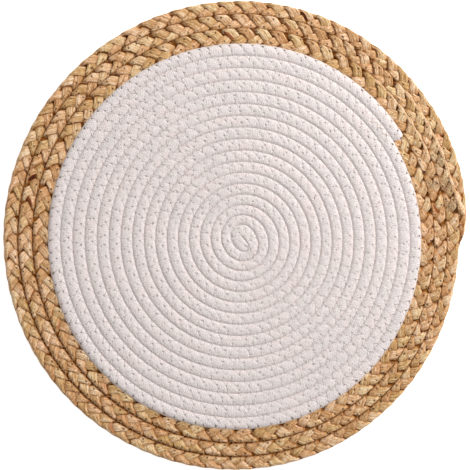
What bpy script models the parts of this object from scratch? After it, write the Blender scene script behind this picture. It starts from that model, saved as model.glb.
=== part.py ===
"""A round woven trivet: a flat coil of white cotton rope with a border of plaited leaf.

The rope is wound from the centre outward, clockwise as seen from above, and the border starts at the
rope's cut end and winds on in the same way. One formula, seam_radius, gives every seam between two
turns, so the two pieces fit each other with a small gap all the way round.
Metres, +Z up. The origin is under the middle of the trivet's outline, on the surface it lies on.
"""

import math

import bmesh
import bpy

# The winding, as seen from above. Directions are in degrees, counter-clockwise from +X.
COIL_CENTRE = (0.0061, -0.0035)  # the coil's centre, a little off the middle of the outline
CUT_DIRECTION = 33.3  # where the rope's cut end meets the start of the border
COIL_RADIUS = 0.1268  # mean radius of the seam at the rope's cut end
ROPE_PITCH = 0.00792  # width of the outermost rope turn
ROPE_TIGHTENING = 0.0000377  # how much narrower the turns get towards the centre
ROPE_TURNS = 15.5  # outside the hairpin that the coil starts from
BORDER_PITCH = 0.00888  # width of one row of plait
BORDER_TURNS = 3

# The coil isn't quite round: its outer turns shift towards one side and stretch a little.
SHIFT = 0.00405
SHIFT_DIRECTION = 168.0
SHIFT_FADE_TURNS = 17.0  # turns inward over which the shift fades out
BORDER_SHIFT_GROWTH = 0.17  # the shift's growth for each turn of border
STRETCH = 0.00112
STRETCH_DIRECTION = 83.0

# The plait is laid on a little slack, so its rows stand out, most of all in three places.
SLACK = 0.0007
BULGE = 0.0004
BULGE_DIRECTION = 66.0
SLACK_TURNS = 0.08  # how soon after the cut end the slack is full

# Heights above the surface, and how far a rim draws in between its waist and its foot.
ROPE_TOP = 0.0070
ROPE_GROOVE = 0.0052
BORDER_TOP = 0.0064
BORDER_GROOVE = 0.0046
TAIL_TOP = 0.0056
RIM_WAIST = 0.0025
RIM_UNDERCUT = 0.0017

# Sections, from the inner seam of a turn (across = 0) to its outer one (across = 1). Rise is 0 at
# the height of the groove and 1 at the top.
ROPE_SECTION = ((0.28, 1.0), (0.72, 1.0))
BORDER_SECTION = ((0.14, 0.72), (0.34, 1.0), (0.66, 1.0), (0.86, 0.72))
HAIRPIN_EDGE = -0.35  # how far inside the first seam the hairpin's flat crown ends, across the turn
TAIL_WIDTHS = (0.97, 0.90, 0.75, 0.47)  # share of the row's width at each column of the tail

GAP = 0.0003  # clearance between the two pieces
COLUMNS = 48  # straight pieces in one turn
CUT_CLEARANCE = math.degrees(GAP / COIL_RADIUS)  # about the same gap at the cut end, as an angle

COTTON = {"colour": (0.72, 0.64, 0.62, 1.0), "roughness": 0.9}
PLAITED_LEAF = {"colour": (0.48, 0.28, 0.13, 1.0), "roughness": 0.65}


def seam_radius(turn, direction):
    """Distance of a seam from the coil's centre. Turns count outward from the rope's cut end."""
    if turn <= 0:
        mean = COIL_RADIUS + ROPE_PITCH * turn + ROPE_TIGHTENING * turn * turn
        growth = 1 + turn / SHIFT_FADE_TURNS
        stretch = STRETCH * growth
    else:
        bulge = BULGE * math.cos(3 * math.radians(direction - BULGE_DIRECTION))
        slack = (SLACK + bulge) * min(turn / SLACK_TURNS, 1)
        mean = COIL_RADIUS + BORDER_PITCH * turn + slack
        growth = 1 + BORDER_SHIFT_GROWTH * turn
        stretch = STRETCH
    shift = SHIFT * growth * math.cos(math.radians(direction - SHIFT_DIRECTION))
    return mean + shift + stretch * math.cos(2 * math.radians(direction - STRETCH_DIRECTION))


def place(column, across, height, outward=0.0, turned=0.0):
    """A point across the turn at a column. Columns count outward along the winding from the cut end.

    A column's outer seam is the inner seam of the column one whole turn further on. Outward adds a
    length to the radius, and turned adds degrees to the direction.
    """
    direction = CUT_DIRECTION - 360 * column / COLUMNS
    inner = seam_radius(column / COLUMNS - 1, direction)
    outer = seam_radius(column / COLUMNS, direction)
    radius = inner + across * (outer - inner) + outward
    angle = math.radians(direction + turned)
    return (radius * math.cos(angle), radius * math.sin(angle), height)


def skin(form, columns, *rows):
    """Quads between each two neighbouring rows of vertices."""
    for upper, lower in zip(rows, rows[1:]):
        for column in columns[:-1]:
            form.faces.new((upper[column], upper[column + 1], lower[column + 1], lower[column]))


def next_turn(columns, seams, rim):
    """The outer edge of each column: the next turn's seam, or the rim where no turn follows."""
    return {c: seams[c + COLUMNS] if c + COLUMNS in seams else rim[c] for c in columns}


def make_rope_coil(form):
    """The coiled rope as one disc: a spiral groove on top, a flat foot and a step at the cut end."""
    columns = range(-round(ROPE_TURNS * COLUMNS), 1)
    last_turn = range(-COLUMNS, 1)
    start, cut = columns[0], columns[-1]

    def row(members, across, height, outward=0.0):
        places = {c: place(c, across, height, outward, CUT_CLEARANCE) for c in members}
        return {c: form.verts.new(places[c]) for c in members}

    seams = row(columns[:-1], 0, ROPE_GROOVE)
    seams.update(row(columns[-1:], 0, ROPE_GROOVE, -GAP / 2))
    crowns = []
    for across, rise in ROPE_SECTION:
        crowns.append(row(columns, across, ROPE_GROOVE + rise * (ROPE_TOP - ROPE_GROOVE)))
    rim = row(last_turn[1:], 1, ROPE_GROOVE, -GAP / 2)
    rim[last_turn[0]] = seams[cut]
    waist = row(last_turn, 1, RIM_WAIST, -GAP / 2)
    foot = row(last_turn, 1, 0, -GAP / 2 - RIM_UNDERCUT)
    skin(form, columns, seams, *crowns, next_turn(columns, seams, rim))
    skin(form, last_turn, rim, waist, foot)
    form.faces.new([foot[c] for c in last_turn])
    cut_top = [seams[cut], *(line[cut] for line in crowns), rim[cut]]
    form.faces.new([*cut_top, waist[cut], foot[cut], foot[last_turn[0]], waist[last_turn[0]]])

    # The hairpin that the coil starts from: a flat crown inside the first seam.
    first_turn = columns[: COLUMNS + 1]
    hairpin = row(first_turn, HAIRPIN_EDGE, ROPE_TOP)
    skin(form, first_turn, seams, hairpin)
    form.faces.new([hairpin[c] for c in first_turn])
    end = first_turn[-1]
    start_top = [seams[start], *(line[start] for line in crowns), seams[end]]
    form.faces.new([*start_top, hairpin[end], hairpin[start]])


def make_braid_border(form):
    """The plait as one flat ring of joined rows, from the cut end to a narrow tail."""
    whole = BORDER_TURNS * COLUMNS
    columns = range(whole + len(TAIL_WIDTHS) + 1)
    first_turn = columns[: COLUMNS + 1]
    last_turn = columns[-COLUMNS - 1 :]
    end = columns[-1]
    widths = dict.fromkeys(columns, 1.0)
    tops = dict.fromkeys(columns, BORDER_TOP)
    for step, width in enumerate(TAIL_WIDTHS, start=1):
        widths[whole + step] = width
        tops[whole + step] += (TAIL_TOP - BORDER_TOP) * step / len(TAIL_WIDTHS)

    def row(members, across, height, outward=0.0):
        places = {c: place(c, across * widths[c], height, outward) for c in members}
        return {c: form.verts.new(places[c]) for c in members}

    def crown(across, rise):
        made = {}
        for c in columns:
            height = BORDER_GROOVE + rise * (tops[c] - BORDER_GROOVE)
            made[c] = form.verts.new(place(c, across * widths[c], height))
        return made

    seams = row(first_turn, 0, BORDER_GROOVE, GAP / 2)
    seams.update(row(columns[COLUMNS + 1 :], 0, BORDER_GROOVE))
    crowns = [crown(across, rise) for across, rise in BORDER_SECTION]
    rim = row(last_turn[1:], 1, BORDER_GROOVE)
    rim[last_turn[0]] = seams[end]
    waist = row(last_turn, 1, RIM_WAIST)
    foot = row(last_turn, 1, 0, -RIM_UNDERCUT)
    inner_waist = row(first_turn, 0, RIM_WAIST, GAP / 2)
    under_seams = row(first_turn, 0, 0, GAP / 2 + RIM_UNDERCUT)
    under_seams.update(row(columns[COLUMNS + 1 : -1], 0, 0))
    under_seams[end] = foot[last_turn[0]]

    skin(form, columns, seams, *crowns, next_turn(columns, seams, rim))
    skin(form, columns, under_seams, next_turn(columns, under_seams, foot))
    skin(form, last_turn, rim, waist, foot)
    skin(form, first_turn, seams, inner_waist, under_seams)
    start_top = [seams[0], *(line[0] for line in crowns), seams[COLUMNS]]
    start_foot = [inner_waist[COLUMNS], under_seams[COLUMNS], under_seams[0], inner_waist[0]]
    form.faces.new(start_top + start_foot)
    end_top = [seams[end], *(line[end] for line in crowns), rim[end]]
    form.faces.new([*end_top, waist[end], foot[end], under_seams[end], waist[last_turn[0]]])


def make_material(name, finish):
    material = bpy.data.materials.new(name)
    material.use_nodes = True
    shader = material.node_tree.nodes["Principled BSDF"]
    shader.inputs["Base Color"].default_value = finish["colour"]
    shader.inputs["Roughness"].default_value = finish["roughness"]
    shader.inputs["Metallic"].default_value = 0.0
    return material


def make_piece(name, make_form, finish):
    form = bmesh.new()
    make_form(form)
    bmesh.ops.recalc_face_normals(form, faces=form.faces)
    mesh = bpy.data.meshes.new(name)
    form.to_mesh(mesh)
    form.free()
    mesh.shade_smooth()
    mesh.set_sharp_from_angle(angle=math.radians(50))
    mesh.materials.append(make_material(name + "_finish", finish))
    piece = bpy.data.objects.new(name, mesh)
    piece.location = (*COIL_CENTRE, 0)
    bpy.context.collection.objects.link(piece)
    return piece


def main():
    for old in list(bpy.data.objects):
        bpy.data.objects.remove(old, do_unlink=True)
    trivet = bpy.data.objects.new("trivet", None)
    bpy.context.collection.objects.link(trivet)
    for piece in (
        make_piece("rope_coil", make_rope_coil, COTTON),
        make_piece("braid_border", make_braid_border, PLAITED_LEAF),
    ):
        piece.parent = trivet


main()
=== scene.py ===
"""The look of a woven trivet: a sewn coil of white cotton rope with a border of plaited leaf.

Lengths are in millimetres until a mesh is made. Directions are in degrees, counter-clockwise from +X
as seen from above. Turns count outward along the winding from the rope's cut end, as in the CAD, so
the rope has negative turns and the plait positive ones. The winding runs clockwise. A span is given as
its start and its length.
"""

import functools
import math

import bpy
import numpy as np
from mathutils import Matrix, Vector
from mathutils.bvhtree import BVHTree


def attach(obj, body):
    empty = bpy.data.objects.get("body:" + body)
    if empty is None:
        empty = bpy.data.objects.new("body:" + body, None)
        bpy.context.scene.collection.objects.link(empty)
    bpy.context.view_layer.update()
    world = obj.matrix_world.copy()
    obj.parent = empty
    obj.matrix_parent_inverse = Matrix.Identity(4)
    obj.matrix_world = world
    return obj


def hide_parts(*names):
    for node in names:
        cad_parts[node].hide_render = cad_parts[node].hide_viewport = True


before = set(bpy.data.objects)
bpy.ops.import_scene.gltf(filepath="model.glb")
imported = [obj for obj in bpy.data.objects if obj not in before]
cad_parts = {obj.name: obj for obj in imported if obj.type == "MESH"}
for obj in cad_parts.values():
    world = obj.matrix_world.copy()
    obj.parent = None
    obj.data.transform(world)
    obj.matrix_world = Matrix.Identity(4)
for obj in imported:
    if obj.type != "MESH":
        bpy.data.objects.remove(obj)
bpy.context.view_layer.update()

MM = 0.001

# The winding, as in the CAD.
COIL_CENTRE = (6.1, -3.5)
CUT_DIRECTION = 33.3
COIL_RADIUS = 126.8
ROPE_PITCH = 7.92
ROPE_TIGHTENING = 0.0377
BORDER_PITCH = 8.88
SHIFT = 4.05
SHIFT_DIRECTION = 168.0
SHIFT_FADE_TURNS = 17.0
BORDER_SHIFT_GROWTH = 0.17
STRETCH = 1.12
STRETCH_DIRECTION = 83.0
SLACK = 0.7
BULGE = 0.4
BULGE_DIRECTION = 66.0
SLACK_TURNS = 0.08

# The coil's heart: the rope is folded into a hairpin along a slit, and the first turns follow its oval.
ROPE_START = -16.70
HEART_SWELL = 0.8
HEART_SHIFT = 1.3
HEART_SHIFT_DIRECTION = 172.0
HEART_OVAL = 1.6
HEART_OVAL_DIRECTION = -69.0
HEART_FADE_TURNS = 1.8
SLIT_CENTRE = (6.8, -2.9)
SLIT_DIRECTION = -51.0
SLIT_HALF_LENGTH = 3.2
SLIT_CLOSING_TURNS = 0.10
HAIRPIN_OVERLAP = 0.05  # turns by which the rope's start reaches under the turn that closes on it

# Rope. Heights are above the surface that the trivet lies on.
ROPE_TOP = 6.95
ROPE_GROOVE = 5.85
JOINT_GROOVE = 5.2
JOINT_GROOVE_LEAN = 0.25  # how much deeper the joint's groove gets towards +X, as a share
JOINT_START = (-1, 0.02)
SLIT_GROOVE = 6.1
SLIT_ROUNDING = 8.0
SLIT_FADE_TURNS = 0.1
ROPE_UNDER_GROOVE = 1.9
ROPE_FOOT = 0.12
ROPE_ROUNDING = 2.8
ROPE_STEP = 1.0
ROPE_CLEARANCE = 0.02
ROPE_JOIN_TURN = -5.0  # where one mesh of the rope ends and the other starts
ROPE_LUMP = 0.03
ROPE_LUMP_LENGTH = 21
ROPE_RIPPLE = 0.02
ROPE_RIPPLE_LENGTH = 6
CUT_END_LENGTH = 2.4
CUT_END_NARROWING = 0.16
FLUFF = 0.09
FLUFF_LENGTH = 2.4
FLUFF_WIDTH = 1.9

# How the thread draws the rope in: dents at the needle holes, and slanted troughs through them
INNER_DENT = 0.34
OUTER_DENT = 0.24
DENT_RADIUS = 0.9
UNDER_DENT = 0.25
UNDER_DENT_RADIUS = 1.1
TROUGH_DEPTH = 0.10
TROUGH_EXTRA_DEPTH = 0.16  # in the outer turns, on one side
TROUGH_DIRECTION = 95
TROUGH_DEEPENING = (-7, 5)
TROUGH_WIDTH = 1.1
TROUGH_LENGTH = 2.1
TROUGH_MIDDLE = 0.5
INNER_TROUGH_SLANT = 0.6
OUTER_TROUGH_SLANT = -0.5

# How open the needle holes are
HOLE_OPENNESS = 0.55
OUTER_TURN_OPENNESS = 0.25
HOLE_WIDENING = (-14.4, 9)
SIDE_OPENNESS = 0.20
OPEN_DIRECTION = 135
JOINT_OPENNESS = 2.3

# Plait: three flat strands, each over and under the others once in a period
PLAIT_TURNS = 3.094
PLAIT_TAIL_TURN = 3.0
PLAIT_TAIL_WIDTH = 0.14
PLAIT_TAIL_BLUNTNESS = 2.6
PLAIT_TAIL_POWER = 0.45
FULL_HALF_ROW = 4.4  # half the width of a row, below which its strands shrink
TAIL_HALF_ROW = 4.0  # half the width of a row, below which it doesn't lean outward
PLAIT_PERIOD = 30.9
PLAIT_WANDER = 0.30  # how unevenly the strands cross, in radians of the period
PLAIT_WANDER_LENGTH = 45
PLAIT_LEAD = 0.9  # how far the crossings run ahead on one side of the border, in radians
PLAIT_LEAD_DIRECTION = 230
PLAIT_STEP = 0.8
PLAIT_MIDDLE = 3.25
PLAIT_CROWN = 6.4
PLAIT_RIM = 3.1
PLAIT_FOOT = 0.15
PLAIT_SWING = 1.28
PLAIT_SKEW = 0.12
ZIGZAG_INWARD = 0.30
ZIGZAG_POINT = 0.08
LEAF_HALF_WIDTH = 3.32
LEAF_HALF_THICKNESS = 1.25
LEAF_ROUNDING = 3.1
LEAF_CREASE = 0.10
LEAF_CREASE_LENGTH = 16
LEAF_CREASE_WIDTH = 1.3
PATTERN_SPACING = 3000  # between the pieces' places in the leaf's pattern, so that none repeats
FOLD_HALF_WIDTH = 2.1
FOLD_HALF_THICKNESS = 1.45
FOLD_FROM_EDGE = 0.85
EDGE_WANDER = 0.12
EDGE_WANDER_LENGTH = 14
EDGE_FALL = 1.6  # how steeply a strand's cover falls away beyond its edge
CLIMB_TILT = 0.6  # how far a strand's section tilts as it climbs, as a share
PETAL_MIDDLE = 5 / 6  # half periods from the start of a strand's course to the middle of a petal
PETAL_LIFT = 0.12
PETAL_SPREAD = 0.08
PETAL_ROLL = 0.10
ODD_EDGE_WIDTH = 0.45
ODD_EDGE_BLUR = 0.3

# Rows of plait: how they overlap and bulge, on the flat side of the border and on the round side
FLAT_DIRECTION = 50
OVERLAP = 0.55
ROUND_OVERLAP_LOSS = 0.75
JOINT_OVERLAP = 1.0
SCALLOP = 0.16
RIM_SCALLOP = 0.35
ROW_POWER = 3.2
ROUND_ROW_POWER = 1.85
FLAT_OUTER_POWER = 2.5
ROW_LEAN = 0.09
ROUND_ROW_LEAN = 0.04
SIDE_BLEND = 0.35
CROWN_BLEND = 0.2
FOOT_BLEND = 0.1

# How much painted shade the leaf gets under another strand and at a seam, and how much less on the rim's
# open side
INNER_EDGE_COVER = 0.35
ROUND_COVER = 0.22
SEAM_SHADE = 0.9
ROUND_SEAM_SHADE = 0.4
SEAM_SHADE_SPAN = (0.78, 0.2)  # as shares of the way from the row's middle
LAPPED_SHADE = 0.8
OPEN_SIDE_SPAN = (0.5, 0.25)
OPEN_SIDE = 1.9
OPEN_SIDE_SWING = 1.1
OPEN_SIDE_DIRECTION = 80

# The band of hidden inner folds, tinted dark as painted shade where it shows deep in the gaps
LINING_ENDS = (0.004, PLAIT_TURNS - 0.012)
LINING_STEP = 3.0
LINING_INSET = 1.1
LINING_GAP = 0.1
LINING_LEAST_REACH = 0.1
LINING_HEIGHT = 2.5
LINING_HALF_THICKNESS = 0.35
LINING_SHADE_TINT = 0.86

# Leaves whose edge is of another colour: row, direction, 1 for a petal in the row's outer half and -1
# for one in its inner half, and how far the colour goes towards dark red-brown. The entry at 162.8
# degrees is painted shadow by the seam outside its row.
ODD_LEAVES_AND_PAINTED_SHADOW = (
    (2, 74.5, 1, 1.0),
    (0, 63.5, 1, 0.8),
    (0, 91.5, 1, 0.85),
    (1, 79.5, 1, 0.7),
    # Painted shadow: dark where shade falls by the seam outside this row, not a leaf of another colour
    (1, 162.8, 1, 1.0),
    (1, 169.0, -1, 0.85),
    (1, 8.0, -1, 0.8),
    (2, 12.5, 1, 0.75),
    (0, 202.0, 1, 0.62),
    (0, 228.0, 1, 0.62),
    (2, 234.5, 1, 0.7),
)

# Turns along which an edge of the outer leaf is folded over the next row, as a light ridge. The outer
# ridge ends thicker, and bends outward to the tail.
FOLDED_EDGES = ((0.945, 1.022), (1.965, 2.074))
FOLD_FADE_IN_TURNS = 0.012
FOLD_FADE_OUT_TURNS = 0.005
FOLD_WIDTH = 1.15
FOLD_THICKNESS = 0.55
FOLD_HEIGHT = 5.45
FOLD_INWARD = 0.45
FOLD_THICKENING = 0.8
FOLD_THICKENS = (2.056, 0.01)
FOLD_BEND = 4.2
FOLD_BENDS = (2.045, 0.03)
FOLD_TINT = 0.35

# Turns and half lengths, in turns, of grey and brittle stretches of leaf
WORN_LEAVES = ((2.030, 0.007), (2.050, 0.006), (2.066, 0.006), (1.046, 0.004))

# Zigzag seams
STITCH = 7.1
STITCH_JITTER = 0.16
ROPE_THREAD_RADIUS = 0.14
PLAIT_THREAD_RADIUS = 0.10
FIBRE_RADIUS = 0.14
THREAD_PRESSED = 0.5  # how high the middle of a thread lies on the surface, as a share of its radius
THREAD_START_SUNK = 0.9
THREAD_END_SUNK = 0.8
RAY_HEIGHT = 20
FREE_START_TURNS = 0.05  # of the rope, before its first stitch
FREE_END_TURNS = 0.003
FRAYED_START = (11.8, -10.4)
BACK_TACK_TURNS = (-1.026, -1.006)
BACK_TACK_SIDES = (-3.6, -1.2)
BACK_TACK_CORNERS = 7

# Needle holes: how far beyond and before the seam they are, and their size
ROPE_HOLES_BEYOND = 2.8
ROPE_HOLES_BEFORE = 2.3
JOINT_HOLES_BEFORE = 1.55
LEAF_HOLES_FROM_SEAM = 1.7
NO_SEAM = 99.0  # distance to needle holes that aren't there
INNER_HOLE_RADIUS = 0.9
OUTER_HOLE_RADIUS = 0.75
LEAF_HOLE_RADIUS = 0.95

# Ribs of the rope's braided sheath
RIB_COLUMN = 1.15
RIB_PITCH = 1.5
RIB_SLANT = 0.62
RIB_WOBBLE = 1.6

# Colours, as linear red, green and blue
# Painted shade in the rope's needle holes
COTTON_HOLE_PAINTED_SHADE = (0.22, 0.19, 0.185)
LEAF_SPECK = (0.25, 0.105, 0.035)
# Painted shade: a soft, warm darkening near where a strand runs under another
LEAF_PAINTED_SOFT_SHADE = (0.64, 0.43, 0.26)
# Painted shade where a strand lies under another
LEAF_PAINTED_DEEP_SHADE = (0.265, 0.080, 0.009)
# Painted shade in the grooves between rows and at the seams
LEAF_PAINTED_GROOVE_SHADE = (0.285, 0.094, 0.012)
# Painted shade in the leaf's needle holes
LEAF_HOLE_PAINTED_SHADE = (0.135, 0.042, 0.012)
WHITE_THREAD = ((0.66, 0.59, 0.57), (0.86, 0.79, 0.77))
TAN_THREAD = ((0.36, 0.22, 0.11), (0.66, 0.47, 0.28))

# The slot and the replaced node of each kind of piece
ROPE = ("cotton_rope", "rope_coil")
BORDER = ("plaited_leaf", "braid_border")

# Studio
VIEW_CENTRE = (0.57, 0.27)
VIEW_WIDTH = 303.2
VIEW_HEIGHT = 6
LENS = 100
SENSOR_WIDTH = 36
AMBIENT_LIGHT = 0.47
FLOOR_GLOW = 0.72


# -------- winding


def unit(direction):
    angle = np.radians(direction)
    return np.stack([np.cos(angle), np.sin(angle)], -1)


def wave(direction, crest, order=1):
    return np.cos(order * np.radians(direction - crest))


def smoothstep(x):
    x = np.clip(x, 0, 1)
    return x * x * (3 - 2 * x)


def rise_over(x, span):
    """0 before the span and 1 beyond it."""
    start, length = span
    return smoothstep((x - start) / length)


def between(low, high, share):
    return low + (high - low) * share


def direction_of(turn):
    return CUT_DIRECTION - 360 * turn


def seam_radius(turn):
    """Distance from the coil's centre to the seam at this turn."""
    direction = direction_of(turn)
    inside = turn <= 0
    growth = np.where(inside, 1 + turn / SHIFT_FADE_TURNS, 1 + BORDER_SHIFT_GROWTH * turn)
    rope = ROPE_PITCH * turn + ROPE_TIGHTENING * turn * turn
    slack = (SLACK + BULGE * wave(direction, BULGE_DIRECTION, 3)) * np.minimum(turn / SLACK_TURNS, 1)
    mean = COIL_RADIUS + np.where(inside, rope, BORDER_PITCH * turn + slack)
    stretch = STRETCH * np.where(inside, growth, 1.0)
    heart = np.exp(-np.maximum(turn - ROPE_START, 0) / HEART_FADE_TURNS)
    heart = heart * (
        HEART_SWELL
        + HEART_SHIFT * wave(direction, HEART_SHIFT_DIRECTION)
        + HEART_OVAL * wave(direction, HEART_OVAL_DIRECTION, 2)
    )
    shift = SHIFT * growth * wave(direction, SHIFT_DIRECTION)
    return mean + shift + stretch * wave(direction, STRETCH_DIRECTION, 2) + heart


def seam(turn):
    return np.array(COIL_CENTRE) + seam_radius(turn)[..., None] * unit(direction_of(turn))


def rope_inner_edge(turn):
    """The seam of the turn before, or the hairpin's slit in the first turn."""
    along_slit = SLIT_HALF_LENGTH * wave(direction_of(turn), SLIT_DIRECTION)[..., None]
    slit = np.array(SLIT_CENTRE) + along_slit * unit(SLIT_DIRECTION)
    share = smoothstep((turn - 1 - ROPE_START) / SLIT_CLOSING_TURNS + 1)[..., None]
    return between(slit, seam(turn - 1), share)


def plait_inner_edge(turn):
    return seam(turn - 1)


def plait_outer_edge(turn):
    """The next seam, drawn in along the tail, which is rounded off as an oval."""
    share = np.clip((turn - PLAIT_TAIL_TURN) / (PLAIT_TURNS - PLAIT_TAIL_TURN), 0, 1)
    taper = (1 - share**PLAIT_TAIL_BLUNTNESS) ** PLAIT_TAIL_POWER
    width = np.maximum(taper, PLAIT_TAIL_WIDTH)[..., None]
    return between(seam(turn - 1), seam(turn), width)


class Lane:
    """The strip between an inner and an outer edge, sampled at even steps along its middle."""

    def __init__(self, inner_edge, outer_edge, first, last, step):
        fine = np.linspace(first, last, int(720 * (last - first)) + 1)
        length = arc_length((inner_edge(fine) + outer_edge(fine)) / 2)
        self.along = np.linspace(0, length[-1], int(length[-1] / step) + 1)
        self.turn = np.interp(self.along, length, fine)
        inner, outer = inner_edge(self.turn), outer_edge(self.turn)
        self.middle = (inner + outer) / 2
        self.half = np.linalg.norm(outer - inner, axis=1) / 2
        self.outward = (outer - inner) / (2 * self.half[:, None])

    def at(self, along, samples):
        return np.interp(along, self.along, samples)

    def rings(self, across, height):
        """Points across the lane at each of its samples."""
        return raised(self.middle[:, None] + across[..., None] * self.outward[:, None], height)


def raised(plan, height):
    return np.concatenate([plan, height[..., None]], -1)


def arc_length(points):
    return np.concatenate([[0], np.cumsum(np.linalg.norm(np.diff(points, axis=0), axis=1))])


SEAM_TURNS = np.linspace(ROPE_START - 1, 4, 15000)
SEAM_LENGTHS = arc_length(seam(SEAM_TURNS))


def stitches_to(turn):
    """Zigzags counted along the seam up to this turn, a little unevenly as a hand-fed machine sews."""
    length = np.interp(turn, SEAM_TURNS, SEAM_LENGTHS)
    return length / STITCH + 0.10 * np.sin(length * 0.37) + 0.08 * np.sin(length * 0.091)


# -------- noise


def noise(x, seed):
    """Smooth noise between -1 and 1, with about one bump for each unit of x."""
    count = 4096
    lattice = np.random.default_rng(seed).uniform(-1, 1, count)
    whole = np.floor(x).astype(int)
    return between(lattice[whole % count], lattice[(whole + 1) % count], smoothstep(x - whole))


def surface_noise(x, y, seed):
    """The same over a surface."""
    columns, rows = 512, 64
    lattice = np.random.default_rng(seed).uniform(-1, 1, (columns, rows))
    column, row = np.floor(x).astype(int), np.floor(y).astype(int)
    share = smoothstep(x - column)

    def along_row(number):
        here = lattice[column % columns, number % rows]
        return between(here, lattice[(column + 1) % columns, number % rows], share)

    return between(along_row(row), along_row(row + 1), smoothstep(y - row))


# -------- meshes


def tube_mesh(name, rings, attributes):
    """Closed tubes as one mesh, from an array (tube, ring, side, xyz), with attributes at each vertex."""
    count, length, sides, _ = rings.shape
    ring, side = np.meshgrid(np.arange(length - 1), np.arange(sides), indexing="ij")
    here, beside = ring * sides + side, ring * sides + (side + 1) % sides
    quads = np.stack([here, beside, beside + sides, here + sides], -1).reshape(-1, 4)
    first = np.arange(sides)[::-1]
    last = (length - 1) * sides + np.arange(sides)
    start = (np.arange(count) * length * sides)[:, None, None]
    quads = (quads + start).reshape(-1, 4)
    caps = (np.stack([first, last]) + start).reshape(-1, sides)
    corners = np.concatenate([quads.ravel(), caps.ravel()])
    quad_starts = np.arange(len(quads)) * 4
    cap_starts = len(quads) * 4 + np.arange(len(caps)) * sides
    mesh = bpy.data.meshes.new(name)
    mesh.vertices.add(count * length * sides)
    mesh.vertices.foreach_set("co", (rings * MM).astype(np.float32).ravel())
    mesh.loops.add(len(corners))
    mesh.loops.foreach_set("vertex_index", corners.astype(np.int32))
    mesh.polygons.add(len(quads) + len(caps))
    loop_starts = np.concatenate([quad_starts, cap_starts])
    mesh.polygons.foreach_set("loop_start", loop_starts.astype(np.int32))
    mesh.update(calc_edges=True)
    mesh.validate()
    for key, values in attributes.items():
        layer = mesh.attributes.new(key, "FLOAT_VECTOR", "POINT")
        layer.data.foreach_set("vector", np.asarray(values, np.float32).ravel())
    mesh.shade_smooth()
    return mesh


def add_object(name, data):
    made = bpy.data.objects.new(name, data)
    bpy.context.scene.collection.objects.link(made)
    return made


def place(name, rings, attributes, material, slot, node):
    """Makes one piece from its tubes' rings and says what it rides on, is made of and replaces."""
    piece = add_object(name, tube_mesh(name, rings, attributes))
    piece.data.materials.append(material)
    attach(piece, "root")
    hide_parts(node)
    return piece


def stack(*parts):
    return np.stack(np.broadcast_arrays(*parts), -1)


# -------- rope


def rope_section():
    """Places round a rope's section, from the outer side over the top to the inner side and back below.

    Each is a share across, from -1 at the inner seam to 1 at the outer, and whether it's on the top.
    """
    top = np.cos(np.linspace(0, np.pi, 15))
    foot = np.cos(np.linspace(np.pi, 2 * np.pi, 7))
    across = np.concatenate([top, foot])
    return across, np.arange(len(across)) < len(top)


def hole_places(turn, from_inner, from_outer, beyond, before):
    """For each point, the stitch count at both seams, the distance past each row of needle holes, and
    how open the holes are: tight near the heart and on one side, and wide at the joint with the plait.
    """
    tight = HOLE_OPENNESS + OUTER_TURN_OPENNESS * rise_over(turn, HOLE_WIDENING)
    tight = tight + SIDE_OPENNESS * wave(direction_of(turn), OPEN_DIRECTION)
    joint = np.where(turn > -1, JOINT_OPENNESS, tight)
    inner = stack(stitches_to(turn - 1)[:, None], from_inner - beyond, tight[:, None])
    outer = stack(stitches_to(turn)[:, None] + 0.5, from_outer - before, joint[:, None])
    return inner, outer


def dent(places, radius):
    along = (places[..., 0] - np.round(places[..., 0])) * STITCH
    return np.exp(-(along**2 + places[..., 1] ** 2) / radius**2)


def pull(places, slant, seed):
    """Slanted troughs through the needle holes, each of its own depth."""
    nearest = np.round(places[..., 0])
    along = (places[..., 0] - nearest) * STITCH + slant * places[..., 1]
    depth = np.random.default_rng(seed).uniform(0.2, 1.0, 4096)[nearest.astype(int) % 4096]
    past = (places[..., 1] - TROUGH_MIDDLE) / TROUGH_LENGTH
    return depth * np.exp(-((along / TROUGH_WIDTH) ** 2) - past**2)


def groove_heights(lane, share):
    """How high the groove beside each point is, and how square the crown is above it."""
    slit = np.clip((ROPE_START + 1 - lane.turn) / SLIT_FADE_TURNS + 1, 0, 1)
    by_slit = slit[:, None] * (share < 0)
    lean = 1 + JOINT_GROOVE_LEAN * wave(direction_of(lane.turn), 0)
    by_joint = (rise_over(lane.turn, JOINT_START) * lean)[:, None] * (share > 0)
    groove = between(ROPE_GROOVE, SLIT_GROOVE, by_slit) + (JOINT_GROOVE - ROPE_GROOVE) * by_joint
    return groove, between(ROPE_ROUNDING, SLIT_ROUNDING, by_slit)


def drawn_in(lane, inner, outer):
    """How far the thread draws the top of the rope in."""
    dents = INNER_DENT * dent(inner, DENT_RADIUS) + OUTER_DENT * dent(outer, DENT_RADIUS)
    by_side = np.clip(wave(direction_of(lane.turn), TROUGH_DIRECTION) - 0.2, 0, 1)
    depth = TROUGH_DEPTH + TROUGH_EXTRA_DEPTH * by_side * rise_over(lane.turn, TROUGH_DEEPENING)
    troughs = pull(inner, INNER_TROUGH_SLANT, 8) + pull(outer, OUTER_TROUGH_SLANT, 9)
    return dents + depth[:, None] * troughs


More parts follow.
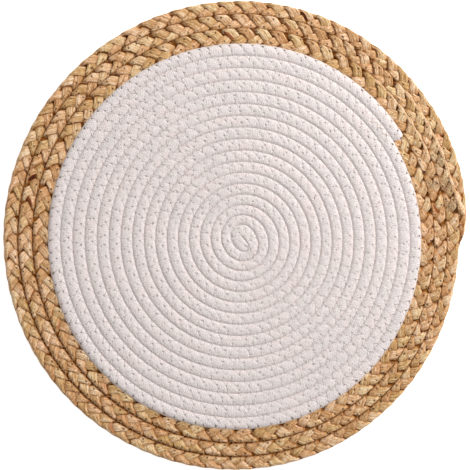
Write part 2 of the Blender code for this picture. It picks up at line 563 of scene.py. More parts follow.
def rope_rings(lane):
    share, is_top = rope_section()
    to_end = lane.along[-1] - lane.along
    rounded = 1 - CUT_END_NARROWING * np.clip(1 - to_end / CUT_END_LENGTH, 0, 1) ** 2
    half = lane.half * rounded - ROPE_CLEARANCE
    across = share * half[:, None]
    inner, outer = hole_places(
        lane.turn,
        lane.half[:, None] + across,
        lane.half[:, None] - across,
        ROPE_HOLES_BEYOND,
        np.where(lane.turn > -1, JOINT_HOLES_BEFORE, ROPE_HOLES_BEFORE)[:, None],
    )
    groove, rounding = groove_heights(lane, share)
    rise = 1 - np.abs(share) ** rounding
    lumps = 1 + ROPE_LUMP * noise(lane.along / ROPE_LUMP_LENGTH, 5)
    lumps = lumps + ROPE_RIPPLE * noise(lane.along / ROPE_RIPPLE_LENGTH, 6)
    crown = between(groove, ROPE_TOP, rise * (lumps * rounded)[:, None])
    fluff = surface_noise(lane.along[:, None] / FLUFF_LENGTH, across / FLUFF_WIDTH, 7)
    crown = crown - drawn_in(lane, inner, outer) + FLUFF * fluff
    foot = between(ROPE_UNDER_GROOVE, ROPE_FOOT, rise) + UNDER_DENT * dent(outer, UNDER_DENT_RADIUS)
    height = np.where(is_top, crown, foot)
    steps = np.linalg.norm(np.diff(stack(across, height), axis=1), axis=2)
    girth = np.concatenate([np.zeros((len(across), 1)), np.cumsum(steps, 1)], 1)
    sheath = stack(lane.along[:, None], girth, height)
    attributes = {"sheath": sheath, "inner_holes": inner, "outer_holes": outer}
    return lane.rings(across, height), attributes


def make_rope(material):
    """The rope in two lengths, so that neither mesh gets too large."""
    lane = Lane(rope_inner_edge, seam, ROPE_START - HAIRPIN_OVERLAP, 0, ROPE_STEP)
    rings, attributes = rope_rings(lane)
    join = np.searchsorted(lane.turn, ROPE_JOIN_TURN)
    made = []
    for name, part in (
        ("cotton_rope_inner", slice(0, join + 1)),
        ("cotton_rope_outer", slice(join, None)),
    ):
        own = {key: values[part] for key, values in attributes.items()}
        made.append(place(name, rings[part][None], own, material, *ROPE))
    return made


# -------- plait


def superellipse(share, power):
    """Height of a superellipse above its middle, as a share of its half height."""
    return np.clip(1 - np.abs(share) ** power, 0, 1) ** (1 / power)


def soft_min(a, b, blend):
    return (a + b - np.sqrt((a - b) ** 2 + blend**2)) / 2


def soft_max(a, b, blend):
    return (a + b + np.sqrt((a - b) ** 2 + blend**2)) / 2


class Petals:
    """The places where a strand shows: each has its own width, lift, roll, tone, tint and edge."""

    def __init__(self, lane, phase, strand):
        nearest = np.round((phase - PETAL_MIDDLE * np.pi) / np.pi).astype(int)
        numbers = np.arange(nearest.min(), nearest.max() + 1)
        index = nearest - nearest.min()
        random = np.random.default_rng(100 + strand)
        features = random.uniform(-1, 1, (5, len(numbers)))
        odd = np.zeros(len(numbers))
        turns = np.interp((numbers + PETAL_MIDDLE) * np.pi, phase, lane.turn)
        is_outer = numbers % 2 == 0
        nearby = PLAIT_PERIOD / 6 / (2 * math.pi * COIL_RADIUS)
        for row, direction, side, amount in ODD_LEAVES_AND_PAINTED_SHADOW:
            turn = row + ((CUT_DIRECTION - direction) / 360) % 1
            away = np.where(is_outer == (side > 0), np.abs(turns - turn), np.inf)
            if away.min() < nearby:
                odd[away.argmin()] = amount
        self.width, self.lift, self.roll, self.tone, self.tint = features[:, index]
        self.odd = odd[index]
        self.over = np.clip(-np.sin(2 * phase), 0, 1)


def squash(x, sharpness=1.6):
    return np.tanh(sharpness * x) / math.tanh(sharpness)


def roundness_at(turn):
    """0 where the rows lie flat and overlap, 1 opposite, where they are round ridges."""
    return 0.5 - 0.5 * wave(direction_of(turn), FLAT_DIRECTION)


class Strand:
    """One strand's course along the row, from side to side and over and under, and its flat section."""

    def __init__(self, lane, number):
        along = lane.along
        self.lane, self.number = lane, number
        self.phase = 2 * np.pi * (along / PLAIT_PERIOD + number / 3)
        self.phase += PLAIT_WANDER * noise(along / PLAIT_WANDER_LENGTH, 20 + number)
        self.phase += PLAIT_LEAD * wave(direction_of(lane.turn), PLAIT_LEAD_DIRECTION)
        self.petals = Petals(lane, self.phase, number)
        wander = EDGE_WANDER * noise(along / EDGE_WANDER_LENGTH, 30 + number)
        reach = lane.half - FOLD_FROM_EDGE + wander
        skewed = self.phase + PLAIT_SKEW * np.cos(2 * self.phase)
        narrow = np.minimum(lane.half / FULL_HALF_ROW, 1)
        swing = (np.sin(skewed) + ZIGZAG_POINT * np.sin(3 * skewed)) / (1 - ZIGZAG_POINT)
        inward = ZIGZAG_INWARD * np.sqrt(1 - roundness_at(lane.turn))
        self.lateral = np.maximum(reach, 0) * (swing - inward * (1 - swing**2))
        lift = PETAL_LIFT * self.petals.lift * self.petals.over
        self.height = PLAIT_MIDDLE - PLAIT_SWING * narrow * squash(np.sin(2 * self.phase)) + lift
        self.drift, self.climb = np.gradient(self.lateral, along), np.gradient(self.height, along)
        crossing = np.abs(np.cos(self.phase)) ** 0.8
        wide = between(FOLD_HALF_WIDTH, LEAF_HALF_WIDTH, crossing)
        self.wide = wide * narrow * (1 + PETAL_SPREAD * self.petals.width * self.petals.over)
        self.thick = between(FOLD_HALF_THICKNESS, LEAF_HALF_THICKNESS, crossing) * narrow

    def top(self, along, across):
        """Height of the upper face at a place in the row. It falls away beyond the strand's edges."""
        lateral, height = self.lane.at(along, self.lateral), self.lane.at(along, self.height)
        reach = self.lane.at(along, self.wide * np.hypot(1, self.drift))
        share = np.abs(across - lateral) / reach
        beyond = np.maximum(share - 1, 0) * reach
        bulge = superellipse(np.minimum(share, 1), LEAF_ROUNDING)
        return height + self.lane.at(along, self.thick) * bulge - EDGE_FALL * beyond


def leaf_section():
    """Places round a strand's section, as shares of its half width and half thickness.

    Those above are closer together at the edges.
    """
    even = np.linspace(1, -1, 17)
    above = 1.25 * even - 0.25 * even**3
    below = np.linspace(-0.85, 0.85, 5)
    flat = np.concatenate([above, below])
    tall = superellipse(flat, LEAF_ROUNDING)
    tall[len(above) :] *= -1
    return flat, tall


def strand_rings(lane, strand, others):
    along, petals, seed = lane.along, strand.petals, strand.number
    flat, tall = leaf_section()
    sideways = np.stack([-strand.drift, np.ones_like(along)], -1)
    sideways /= np.hypot(1, strand.drift)[:, None]
    across = strand.wide[:, None] * flat
    to_edge = flat[None] * np.sign(strand.drift)[:, None]
    edge = smoothstep((to_edge + ODD_EDGE_WIDTH * petals.odd[:, None] - 0.5) / ODD_EDGE_BLUR)
    tint = np.maximum(0.25 + 0.25 * petals.tint[:, None], petals.odd[:, None] * edge)
    lengthwise = along[:, None] / LEAF_CREASE_LENGTH
    crosswise = across / LEAF_CREASE_WIDTH + 9 * seed + 30
    crease = 1 - 2 * np.abs(surface_noise(lengthwise, crosswise, 70 + seed))
    above = strand.thick[:, None] * tall + LEAF_CREASE * crease * np.sign(tall)
    roll = (PETAL_ROLL * petals.roll * petals.over)[:, None]
    across, above = across - roll * above, above + roll * across
    tilt = above * strand.climb[:, None] * CLIMB_TILT
    place_along = along[:, None] + across * sideways[:, :1] - tilt
    place_across = strand.lateral[:, None] + across * sideways[:, 1:]
    height = strand.height[:, None] + above
    # How far the other strands lie above this point, for the painted shade under them; less on the flat
    # side's inner halves and on the round side
    cover = np.max([other.top(place_along, place_across) for other in others], axis=0) - height
    roundness = roundness_at(lane.turn)[:, None]
    bared = INNER_EDGE_COVER * (1 - roundness) * smoothstep(0.5 - place_across / 3)
    cover = cover - bared - ROUND_COVER * roundness
    beat = lane.at(place_along, 3 * (strand.phase - np.pi / 2))
    pattern = along[:, None] + PATTERN_SPACING * seed
    leaf = stack(pattern, across, petals.tone[:, None] * 0.5 + 0.5)
    return shape_row(lane, place_along, place_across, height, beat, leaf, cover, tint)


def worn_at(turn):
    """1 where the leaf is grey and brittle."""
    return sum(np.exp(-(((turn - middle) / half) ** 2)) for middle, half in WORN_LEAVES)


def row_limits(turn, half, beat, roundness, is_rim):
    """How far the strands reach outward and inward: over the next rows, and less between petals."""
    overlap = OVERLAP * (1 - ROUND_OVERLAP_LOSS * roundness)
    scallop = np.where(is_rim, RIM_SCALLOP, SCALLOP) * np.minimum(half / FULL_HALF_ROW, 1)
    outer = half + overlap * ~is_rim - scallop * (0.5 - 0.5 * np.cos(beat))
    inner_overlap = np.where(turn > 1, 0.5 * overlap, JOINT_OVERLAP)
    return outer, half + inner_overlap - SCALLOP * (0.5 + 0.5 * np.cos(beat))


def distance_shown(turn, height, share, roundness, is_rim, by_rope):
    """How far above or below the row's waist the leaf seems, for its painted groove shade: less towards a
    seam.
    """
    lapped = LAPPED_SHADE * (1 - roundness) * (share < 0)
    seam_shade = between(SEAM_SHADE, ROUND_SEAM_SHADE, roundness) * ~by_rope
    start, length = SEAM_SHADE_SPAN
    by_seam = seam_shade * smoothstep((np.abs(share) - start) / length + lapped)
    open_side = OPEN_SIDE + OPEN_SIDE_SWING * wave(direction_of(turn), OPEN_SIDE_DIRECTION)
    open_side = open_side * is_rim * rise_over(share, OPEN_SIDE_SPAN)
    return np.abs(height - PLAIT_RIM) - by_seam + open_side


def shape_row(lane, along, across, height, beat, leaf, cover, tint):
    """Keeps a strand's points inside the row's section and puts them on the lane."""
    turn, half = lane.at(along, lane.turn), lane.at(along, lane.half)
    roundness = roundness_at(turn)
    is_rim = turn > PLAIT_TURNS - 1
    outer_limit, inner_limit = row_limits(turn, half, beat, roundness, is_rim)
    across = soft_min(across, outer_limit, SIDE_BLEND)
    across = soft_max(across, -inner_limit, SIDE_BLEND)
    share = across / np.where(across > 0, outer_limit, inner_limit)
    by_rope = (turn < 1) & (across < 0)
    power = between(ROW_POWER, ROUND_ROW_POWER, roundness) + by_rope * (1 + roundness)
    power = power + FLAT_OUTER_POWER * (across > 0) * (1 - roundness) ** 2
    lean = between(ROW_LEAN, ROUND_ROW_LEAN, roundness) * across * (half > TAIL_HALF_ROW)
    bulge = superellipse(share, power)
    crown = between(PLAIT_RIM, PLAIT_CROWN, bulge * np.minimum(half / FULL_HALF_ROW, 1))
    height = soft_min(height + lean, crown, CROWN_BLEND)
    height = soft_max(height, between(PLAIT_RIM, PLAIT_FOOT, bulge), FOOT_BLEND)
    x, y = (
        lane.at(along, lane.middle[:, axis]) + across * lane.at(along, lane.outward[:, axis])
        for axis in range(2)
    )
    inner = stack(stitches_to(turn - 1), across + half - LEAF_HOLES_FROM_SEAM, 1.0)
    outer = stack(stitches_to(turn) + 0.5, half - across - LEAF_HOLES_FROM_SEAM, 1.0)
    outer[..., 1] += NO_SEAM * is_rim
    # Masks for painted shade: the distance shown, for the grooves, and the cover under other strands
    painted_shade = stack(distance_shown(turn, height, share, roundness, is_rim, by_rope), cover, 0.0)
    tint_wear_and_shade = stack(tint, worn_at(turn), 0.0)
    attributes = {"leaf": leaf, "painted_shade": painted_shade, "tint_wear_and_shade": tint_wear_and_shade, "inner_holes": inner, "outer_holes": outer}
    return stack(x, y, height), attributes


def plain_attributes(leaf, tint):
    """For a leaf surface away from other strands, seams, needle holes and worn stretches."""
    painted_shade = np.broadcast_to((3.0, -1.5, 0.0), leaf.shape)
    tint_wear_and_shade = np.broadcast_to((tint, 0.0, 0.0), leaf.shape)
    far = np.broadcast_to((0.5, NO_SEAM, 0.0), leaf.shape)
    return {"leaf": leaf, "painted_shade": painted_shade, "tint_wear_and_shade": tint_wear_and_shade, "inner_holes": far, "outer_holes": far}


def folded_edge_rings(lane, strand, first, last):
    """The edges of the outer petals rolled over the next row, pinched in between two petals."""
    turn = np.linspace(first, last, 160)
    beat = 3 * (np.interp(turn, lane.turn, strand.phase) - np.pi / 2)
    angle = np.linspace(0, 2 * np.pi, 12, endpoint=False)
    length = np.interp(turn, SEAM_TURNS, SEAM_LENGTHS)
    ends = np.minimum((turn - first) / FOLD_FADE_IN_TURNS, (last - turn) / FOLD_FADE_OUT_TURNS)
    size = np.sqrt(np.clip(ends, 0.02, 1)) * (0.9 + 0.25 * np.cos(beat) + 0.2 * noise(length / 5, 51))
    size = size * (1 + FOLD_THICKENING * rise_over(turn, FOLD_THICKENS))
    sideways = 0.35 * noise(length / 9, 52) - FOLD_INWARD
    sideways += FOLD_BEND * np.clip((turn - FOLD_BENDS[0]) / FOLD_BENDS[1], 0, 1) ** 1.5
    middle = FOLD_HEIGHT + 0.20 * noise(length / 6, 53) - 0.5 * (1 - np.clip(ends, 0, 1))
    across = sideways[:, None] + FOLD_WIDTH * size[:, None] * np.cos(angle)
    height = middle[:, None] + FOLD_THICKNESS * size[:, None] * np.sin(angle)
    plan = seam(turn)[:, None] + across[..., None] * unit(direction_of(turn))[:, None]
    leaf = stack(length[:, None] + 3 * PATTERN_SPACING, 0.9 * angle, 0.8)
    return raised(plan, height), plain_attributes(leaf, FOLD_TINT)


def lining_rings():
    """The leaves' hidden inner folds, as one thin band under each row and the seam outside it, tinted
    dark as painted shade in the gaps.
    """
    lane = Lane(plait_inner_edge, plait_outer_edge, *LINING_ENDS, LINING_STEP)
    angle = np.linspace(0, 2 * np.pi, 8, endpoint=False)
    side = np.cos(angle)
    reach = np.maximum(lane.half - LINING_INSET, LINING_LEAST_REACH)
    is_rim = rise_over(lane.turn, (PLAIT_TURNS - 1, 0.01))
    past_seam = (1 - is_rim) * 2 * LINING_INSET - LINING_GAP
    across = reach[:, None] * side + past_seam[:, None] * (side > 0)
    height = np.broadcast_to(LINING_HEIGHT + LINING_HALF_THICKNESS * np.sin(angle), across.shape)
    leaf = stack(lane.along[:, None] + 4 * PATTERN_SPACING, across, 0.5)
    return lane.rings(across, height), plain_attributes(leaf, LINING_SHADE_TINT)


def place_leaf(name, rings, attributes, material):
    return place(name, rings[None], attributes, material, *BORDER)


def make_plait(material):
    """The pieces of leaf, without the lining, which stays out of sight."""
    lane = Lane(plait_inner_edge, plait_outer_edge, 0.0, PLAIT_TURNS, PLAIT_STEP)
    strands = [Strand(lane, number) for number in range(3)]
    made = []
    for strand in strands:
        others = [other for other in strands if other is not strand]
        rings, attributes = strand_rings(lane, strand, others)
        made.append(place_leaf(f"leaf_strand_{strand.number + 1}", rings, attributes, material))
    place_leaf("leaf_lining", *lining_rings(), material)
    for number, (first, last) in enumerate(FOLDED_EDGES, start=1):
        rings, attributes = folded_edge_rings(lane, strands[0], first, last)
        made.append(place_leaf(f"folded_edge_{number}", rings, attributes, material))
    return made


# -------- thread


class Surface:
    """Heights of the pieces made so far, found by looking straight down or up at them."""

    def __init__(self, pieces, from_above=True):
        self.sign = 1 if from_above else -1
        vertices, faces = [], []
        for piece in pieces:
            mesh = piece.data
            points = np.empty(len(mesh.vertices) * 3, np.float32)
            mesh.vertices.foreach_get("co", points)
            mesh.calc_loop_triangles()
            corners = np.empty(len(mesh.loop_triangles) * 3, np.int32)
            mesh.loop_triangles.foreach_get("vertices", corners)
            faces.append(corners.reshape(-1, 3) + sum(len(v) for v in vertices))
            vertices.append(points.reshape(-1, 3) / MM)
        self.tree = BVHTree.FromPolygons(
            np.concatenate(vertices).tolist(), np.concatenate(faces).tolist(), all_triangles=True
        )

    def height(self, plan):
        down = Vector((0, 0, -self.sign))
        found = np.empty(len(plan))
        for i, (x, y) in enumerate(plan.tolist()):
            hit = self.tree.ray_cast(Vector((x, y, RAY_HEIGHT * self.sign)), down)[0]
            found[i] = hit.z if hit else PLAIT_RIM
        return found


def thread_ends(first, last, beyond, before):
    """Pairs of needle holes that each piece of thread joins: by each half stitch, on alternate sides."""
    counts = np.arange(math.ceil(2 * stitches_to(first)), math.floor(2 * stitches_to(last)) + 1)
    fine = np.linspace(first, last, 20000)
    turns = np.interp(counts / 2, stitches_to(fine), fine)
    sides = np.where(counts % 2 == 0, beyond, -before)
    points = seam(turns) + sides[:, None] * unit(direction_of(turns))
    random = np.random.default_rng(len(turns))
    points = points + random.normal(0, STITCH_JITTER, points.shape)
    return points[:-1], points[1:]


def taut(heights):
    """The lowest heights a stretched thread can have over these, for points at even steps."""
    count = heights.shape[1]
    lifted = heights.copy()
    for i in range(count):
        for low in range(i):
            for high in range(i + 1, count):
                share = (i - low) / (high - low)
                level = between(heights[:, low], heights[:, high], share)
                lifted[:, i] = np.maximum(lifted[:, i], level)
    return lifted


def thread_paths(surface, start, end, radius, samples):
    """Each piece of thread's course: stretched over the surface, and sunk in it at both ends."""
    shares = np.linspace(0, 1, samples)
    plan = between(start[:, None], end[:, None], shares[:, None])
    heights = surface.height(plan.reshape(-1, 2)).reshape(len(plan), samples)
    sign = surface.sign
    heights = np.maximum(sign * (taut(sign * heights) + radius * THREAD_PRESSED), radius)
    path = raised(plan, heights)
    below_start = path[:, :1] - np.array([0, 0, THREAD_START_SUNK * sign])
    below_end = path[:, -1:] - np.array([0, 0, THREAD_END_SUNK * sign])
    return np.concatenate([below_start, path, below_end], 1)


def thread_tubes(surface, start, end, radius, samples=4):
    """Closed tubes with four sides that join each start to its end."""
    path = thread_paths(surface, start, end, radius, samples)
    ahead = (end - start) / np.linalg.norm(end - start, axis=1)[:, None]
    beside = np.stack([-ahead[:, 1], ahead[:, 0], np.zeros(len(ahead))], -1)
    forward = np.gradient(path, axis=1)
    forward /= np.linalg.norm(forward, axis=2)[..., None]
    upright = np.cross(forward, np.broadcast_to(beside[:, None], forward.shape))
    angle = (np.arange(4) + 0.5) * np.pi / 2
    round_beside = np.cos(angle)[:, None] * beside[:, None, None]
    round_upright = np.sin(angle)[:, None] * upright[:, :, None]
    return path[:, :, None] + radius * (round_beside + round_upright)


def make_loose_ends(surface, white, tan):
    """Frayed fibres at both ends of the rope, and stitches back and forth over its cut end."""
    cut = np.array([-FREE_END_TURNS])
    near_cut = (seam(cut - 1) + seam(cut)) / 2
    for name, middle, spread, count, reach in (
        ("frayed_start", np.array([FRAYED_START]), 1.7, 34, 1.3),
        ("frayed_cut", near_cut, 1.1, 20, 0.8),
    ):
        random = np.random.default_rng(count)
        places = middle + random.normal(0, spread, (count, 2))
        half = unit(random.uniform(0, 360, count)) * random.uniform(0.5, 1, (count, 1)) * reach
        rings = thread_tubes(surface, places - half, places + half, FIBRE_RADIUS)
        place(name, rings, {}, white, *ROPE)
    turns = np.linspace(*BACK_TACK_TURNS, BACK_TACK_CORNERS)
    sides = np.array(BACK_TACK_SIDES)[np.arange(BACK_TACK_CORNERS) % 2]
    corners = seam(turns) + sides[:, None] * unit(direction_of(turns))
    rings = thread_tubes(surface, corners[:-1], corners[1:], ROPE_THREAD_RADIUS)
    place("back_tack_thread", rings, {}, tan, *BORDER)


def make_seams(above, below):
    """The zigzag thread of each seam, on the trivet's top and underneath."""
    white = thread_material("white_thread", *WHITE_THREAD)
    tan = thread_material("tan_thread", *TAN_THREAD)
    make_loose_ends(above, white, tan)
    cotton = (ROPE_THREAD_RADIUS, white, ROPE)
    leaf = (PLAIT_THREAD_RADIUS, tan, BORDER)
    rope_holes = (ROPE_HOLES_BEYOND, ROPE_HOLES_BEFORE)
    joint_holes = (LEAF_HOLES_FROM_SEAM, JOINT_HOLES_BEFORE)
    plait_holes = (LEAF_HOLES_FROM_SEAM, LEAF_HOLES_FROM_SEAM)
    for name, first, last, holes, (radius, material, kind) in (
        ("rope_seam_thread", ROPE_START + FREE_START_TURNS, -1.0, rope_holes, cotton),
        ("joint_seam_thread", -1.0, -FREE_END_TURNS, joint_holes, leaf),
        ("plait_seam_thread", 0.0, PLAIT_TURNS - 1, plait_holes, leaf),
    ):
        start, end = thread_ends(first, last, *holes)
        for side, surface, samples in (("", above, 4), ("_below", below, 3)):
            rings = thread_tubes(surface, start, end, radius, samples)
            place(name + side, rings, {}, material, *kind)


# -------- materials


class Shading:
    """Short calls for building one material's nodes."""

    def __init__(self, name):
        self.material = bpy.data.materials.new(name)
        self.material.use_nodes = True
        self.tree = self.material.node_tree
        self.shader = self.tree.nodes["Principled BSDF"]

    def put(self, value, socket):
        if isinstance(value, bpy.types.NodeSocket):
            self.tree.links.new(value, socket)
        else:
            socket.default_value = value

    def set(self, name, value):
        self.put(value, self.shader.inputs[name])

    def node(self, kind):
        return self.tree.nodes.new("ShaderNode" + kind)

    def math(self, operation, *values):
        node = self.node("Math")
        node.operation = operation
        for value, socket in zip(values, node.inputs):
            self.put(value, socket)
        return node.outputs[0]

    def plus(self, a, b):
        return self.math("ADD", a, b)

    def times(self, a, b):
        return self.math("MULTIPLY", a, b)

    def weigh(self, *parts):
        """The sum of values, each times its weight."""
        return functools.reduce(self.plus, [self.times(value, weight) for value, weight in parts])

    def attribute(self, name):
        node = self.node("Attribute")
        node.attribute_name = name
        split = self.node("SeparateXYZ")
        self.tree.links.new(node.outputs["Vector"], split.inputs[0])
        return split.outputs[0], split.outputs[1], split.outputs[2]

    def join(self, x, y, z=0.0):
        node = self.node("CombineXYZ")
        for value, socket in zip((x, y, z), node.inputs):
            self.put(value, socket)
        return node.outputs[0]

    def scaled(self, x, x_scale, y, y_scale, z=0.0):
        return self.join(self.times(x, x_scale), self.times(y, y_scale), z)

    def noise(self, vector, detail=2.0, roughness=0.5, scale=1.0):
        node = self.node("TexNoise")
        self.put(vector, node.inputs["Vector"])
        node.inputs["Scale"].default_value = scale
        node.inputs["Detail"].default_value = detail
        node.inputs["Roughness"].default_value = roughness
        return node.outputs["Fac"]

    def random(self, whole_number):
        node = self.node("TexWhiteNoise")
        node.noise_dimensions = "1D"
        self.put(whole_number, node.inputs["W"])
        return node.outputs["Value"]

    def fade(self, value, low, high, to_low=0.0, to_high=1.0):
        node = self.node("MapRange")
        node.interpolation_type = "SMOOTHSTEP"
        for part, socket in zip((value, low, high, to_low, to_high), node.inputs):
            self.put(part, socket)
        return node.outputs[0]

    def ramp(self, value, *stops):
        node = self.node("ValToRGB")
        self.put(value, node.inputs[0])
        elements = node.color_ramp.elements
        while len(elements) < len(stops):
            elements.new(1.0)
        for element, (position, colour) in zip(elements, stops):
            element.position = position
            element.color = (*colour, 1)
        return node.outputs[0]

    def blend(self, share, a, b, kind="MIX"):
        node = self.node("Mix")
        node.data_type = "RGBA"
        node.blend_type = kind
        self.put(share, node.inputs["Factor"])
        for value, name in ((a, "A"), (b, "B")):
            socket = next(s for s in node.inputs if s.name == name and s.type == "RGBA")
            self.put(value if isinstance(value, bpy.types.NodeSocket) else (*value, 1), socket)
        return next(s for s in node.outputs if s.type == "RGBA")

    def holes(self, name, radius, lean=0.0):
        """A row of needle holes, and the creases that the thread pulls in the cloth beyond them.

        Both are 1 at their deepest and 0 elsewhere. Some holes are nearly closed.
        """
        count, off, openness = self.attribute(name)
        nearest = self.math("ROUND", count)
        chance = self.random(nearest)
        other_chance = self.random(self.plus(nearest, 0.5))
        along = self.times(self.math("SUBTRACT", count, nearest), STITCH)
        along = self.plus(along, self.math("MULTIPLY_ADD", chance, 0.7, -0.35))
        off = self.plus(off, self.math("MULTIPLY_ADD", other_chance, 0.6, -0.3))
        squares = self.plus(self.math("POWER", along, 2.0), self.math("POWER", off, 2.0))
        distance = self.math("SQRT", squares)
        depth = self.times(self.fade(chance, 0.0, 0.6, 0.35, 1.0), openness)
        hole = self.times(self.fade(distance, radius, 0.25 * radius), depth)
        if not lean:
            return hole, 0.0
        slanted = self.math("ABSOLUTE", self.math("MULTIPLY_ADD", off, lean, along))
        length = self.times(self.fade(off, 3.6, 0.6), self.fade(off, -0.8, 0.2))
        crease = self.times(self.fade(slanted, 1.0, 0.1), length)
        return hole, self.times(crease, depth)

    def finish(self, colour, roughness, height, depth):
        self.set("Base Color", colour)
        self.set("Roughness", roughness)
        bump = self.node("Bump")
        bump.inputs["Strength"].default_value = 1.0
        bump.inputs["Distance"].default_value = depth * MM
        self.put(height, bump.inputs["Height"])
        self.set("Normal", bump.outputs[0])
        return self.material


def cotton_material():
    """Braided sheath: slanted ribs in columns along the rope, soft fluff, needle holes and creases, with
    painted shade in the holes and creases.
    """
    s = Shading("cotton_rope")
    along, girth, _ = s.attribute("sheath")
    wobble = s.noise(s.scaled(along, 0.35, girth, 0.5))
    column = s.math("PINGPONG", s.math("DIVIDE", girth, RIB_COLUMN), 1.0)
    phase = s.plus(s.math("DIVIDE", along, RIB_PITCH), s.times(column, RIB_SLANT))
    phase = s.plus(phase, s.times(wobble, RIB_WOBBLE))
    rib = s.math("MULTIPLY_ADD", s.math("SINE", s.times(phase, 2 * math.pi)), 0.5, 0.5)
    fluff = s.noise(s.scaled(along, 0.8, girth, 0.8), 4.0, 0.75)
    patches = s.noise(s.scaled(along, 0.045, girth, 0.16), 2.0)
    inner_hole, inner_crease = s.holes("inner_holes", INNER_HOLE_RADIUS, INNER_TROUGH_SLANT)
    outer_hole, outer_crease = s.holes("outer_holes", OUTER_HOLE_RADIUS, OUTER_TROUGH_SLANT)
    hole = s.math("MAXIMUM", inner_hole, outer_hole)
    crease = s.math("MAXIMUM", inner_crease, outer_crease)
    crease = s.times(crease, s.fade(patches, 0.35, 0.65, 0.3, 1.0))
    # The creases darken the colour a little as painted shade, besides denting the bump
    light = s.weigh((rib, 0.26), (fluff, 1.35), (crease, -0.10))
    colour = s.ramp(
        s.fade(light, 0.25, 1.35),
        (0.0, (0.50, 0.445, 0.43)),
        (0.45, (0.745, 0.665, 0.645)),
        (1.0, (0.89, 0.815, 0.80)),
    )
    tint = s.ramp(
        patches,
        (0.34, (0.93, 0.945, 0.94)),
        (0.5, (0.99, 0.99, 0.99)),
        (0.66, (1.0, 0.975, 0.965)),
    )
    colour = s.blend(1.0, colour, tint, "MULTIPLY")
    # Painted shade: the needle holes are darkened in colour, as well as dented by the bump
    colour = s.blend(s.times(hole, 0.42), colour, COTTON_HOLE_PAINTED_SHADE)
    height = s.weigh((rib, 0.40), (fluff, 2.6), (hole, -2.2), (crease, -0.7))
    s.set("Sheen Weight", 0.15)
    s.set("Sheen Roughness", 0.6)
    s.set("Specular IOR Level", 0.2)
    return s.finish(colour, s.fade(fluff, 0.2, 0.8, 0.95, 0.82), height, 0.22)


def leaf_material():
    """Dried leaf: long fibres and folds, straw to brown, with painted shade between the strands, in the
    grooves and in the needle holes.
    """
    s = Shading("plaited_leaf")
    along, girth, tone = s.attribute("leaf")
    groove_shade_distance, cover, _ = s.attribute("painted_shade")
    tint, worn, _ = s.attribute("tint_wear_and_shade")
    folds = s.noise(s.scaled(along, 0.07, girth, 0.85, tone), 2.0, 0.6)
    fibres = s.noise(s.scaled(along, 0.22, girth, 2.6, tone), 3.0, 0.6)
    blotches = s.noise(s.scaled(along, 0.16, girth, 0.3, tone), 2.0)
    specks = s.noise(s.scaled(along, 1.1, girth, 1.1, tone), 3.0, 0.7)
    grain = s.noise(s.scaled(along, 0.55, girth, 1.1, tone), 2.0, 0.6)
    inner_hole, _ = s.holes("inner_holes", LEAF_HOLE_RADIUS)
    outer_hole, _ = s.holes("outer_holes", LEAF_HOLE_RADIUS)
    hole = s.math("MAXIMUM", inner_hole, outer_hole)
    light = s.weigh((tone, 0.12), (folds, 0.36), (fibres, 0.34), (grain, 0.48), (blotches, 0.20))
    colour = s.ramp(
        s.fade(light, 0.30, 1.09),
        (0.0, (0.17, 0.062, 0.016)),
        (0.30, (0.385, 0.193, 0.072)),
        (0.60, (0.642, 0.382, 0.186)),
        (1.0, (1.0, 0.825, 0.62)),
    )
    # Towards 1 the hue goes dark red-brown: the odd leaves' edges, and painted shade on the lining and at
    # one leaf edge
    hue = s.ramp(
        tint,
        (0.0, (0.98, 1.02, 0.90)),
        (0.25, (1.0, 1.0, 1.0)),
        (0.5, (1.03, 0.95, 0.93)),
        (0.8, (0.52, 0.25, 0.18)),
        (1.0, (0.12, 0.04, 0.035)),
    )
    colour = s.blend(1.0, colour, hue, "MULTIPLY")
    worn_colour = s.ramp(
        specks,
        (0.40, (0.13, 0.07, 0.035)),
        (0.5, (0.42, 0.29, 0.165)),
        (0.62, (0.64, 0.49, 0.32)),
    )
    colour = s.blend(s.times(worn, 0.7), colour, worn_colour)
    colour = s.blend(s.fade(specks, 0.48, 0.36, 0.0, 0.42), colour, LEAF_SPECK)
    # Painted shade from how far another strand lies above: soft near it, deep under it
    colour = s.blend(s.fade(cover, -1.3, -0.3, 0.0, 0.3), colour, LEAF_PAINTED_SOFT_SHADE, "MULTIPLY")
    colour = s.blend(s.fade(cover, -0.40, 0.20, 0.0, 0.85), colour, LEAF_PAINTED_DEEP_SHADE)
    # Painted shade in the grooves between rows, where the leaf lies near the rim's height, and at seams
    colour = s.blend(s.fade(groove_shade_distance, 0.4, 2.5), LEAF_PAINTED_GROOVE_SHADE, colour)
    # Painted shade: the needle holes are darkened in colour, as well as dented by the bump
    colour = s.blend(s.times(hole, 0.9), colour, LEAF_HOLE_PAINTED_SHADE)
    worn_specks = s.times(specks, worn)
    height = s.weigh((folds, 1.5), (fibres, 0.8), (grain, 1.1), (worn_specks, 1.5), (hole, -1.2))
    s.set("Specular IOR Level", 0.06)
    return s.finish(colour, s.fade(fibres, 0.2, 0.8, 0.72, 0.48), height, 0.45)


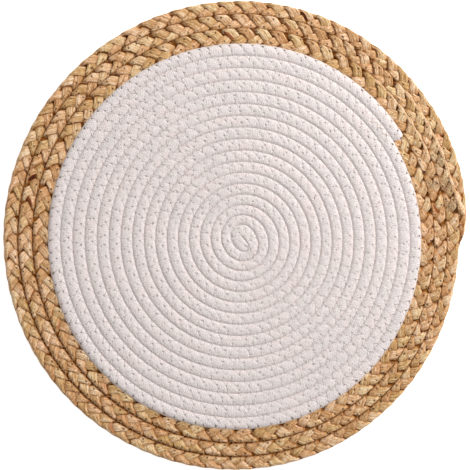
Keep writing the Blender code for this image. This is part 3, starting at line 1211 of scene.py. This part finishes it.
def thread_material(name, dark, light):
    """Sewing thread with a fine twist."""
    s = Shading(name)
    node = s.node("TexCoord")
    twist = s.noise(node.outputs["Object"], 1.0, 0.5, 3000.0)
    colour = s.ramp(twist, (0.3, dark), (0.7, light))
    return s.finish(colour, s.fade(twist, 0.2, 0.8, 0.85, 0.65), twist, 0.08)


def floor_material():
    s = Shading("floor_paper")
    s.set("Base Color", (0.80, 0.80, 0.80, 1))
    s.set("Roughness", 0.95)
    s.set("Specular IOR Level", 0.0)
    s.set("Emission Color", (1, 1, 1, 1))
    s.set("Emission Strength", FLOOR_GLOW)
    return s.material


# -------- studio


def make_floor():
    bpy.ops.mesh.primitive_plane_add(size=6, location=(0, 0, 0))
    floor = bpy.context.object
    floor.name = "floor"
    floor.data.materials.append(floor_material())


def add_light(name, direction, elevation, distance, size, power):
    data = bpy.data.lights.new(name, "AREA")
    data.shape = "DISK"
    data.size = size
    data.energy = power
    light = add_object(name, data)
    flat = unit(direction) * math.cos(math.radians(elevation))
    aim = Vector((*flat, math.sin(math.radians(elevation))))
    light.location = aim * distance
    light.rotation_euler = aim.to_track_quat("Z", "Y").to_euler()


def make_studio():
    make_floor()
    scene = bpy.context.scene
    world = bpy.data.worlds.new("studio")
    scene.world = world
    world.use_nodes = True
    background = world.node_tree.nodes["Background"]
    background.inputs["Color"].default_value = (1, 1, 1, 1)
    background.inputs["Strength"].default_value = AMBIENT_LIGHT
    add_light("key", direction=38, elevation=36, distance=1.6, size=0.5, power=29)
    scene.view_settings.view_transform = "Standard"


def make_camera():
    data = bpy.data.cameras.new("camera")
    camera = add_object("camera", data)
    data.lens = LENS
    data.sensor_width = SENSOR_WIDTH
    distance = VIEW_WIDTH * LENS / SENSOR_WIDTH
    camera.location = (VIEW_CENTRE[0] * MM, VIEW_CENTRE[1] * MM, (distance + VIEW_HEIGHT) * MM)
    data.clip_start = 0.05
    data.clip_end = 20
    bpy.context.scene.camera = camera


def main():
    make_camera()
    make_studio()
    rope = make_rope(cotton_material())
    plait = make_plait(leaf_material())
    make_seams(Surface(rope + plait), Surface(rope + plait, from_above=False))


main()
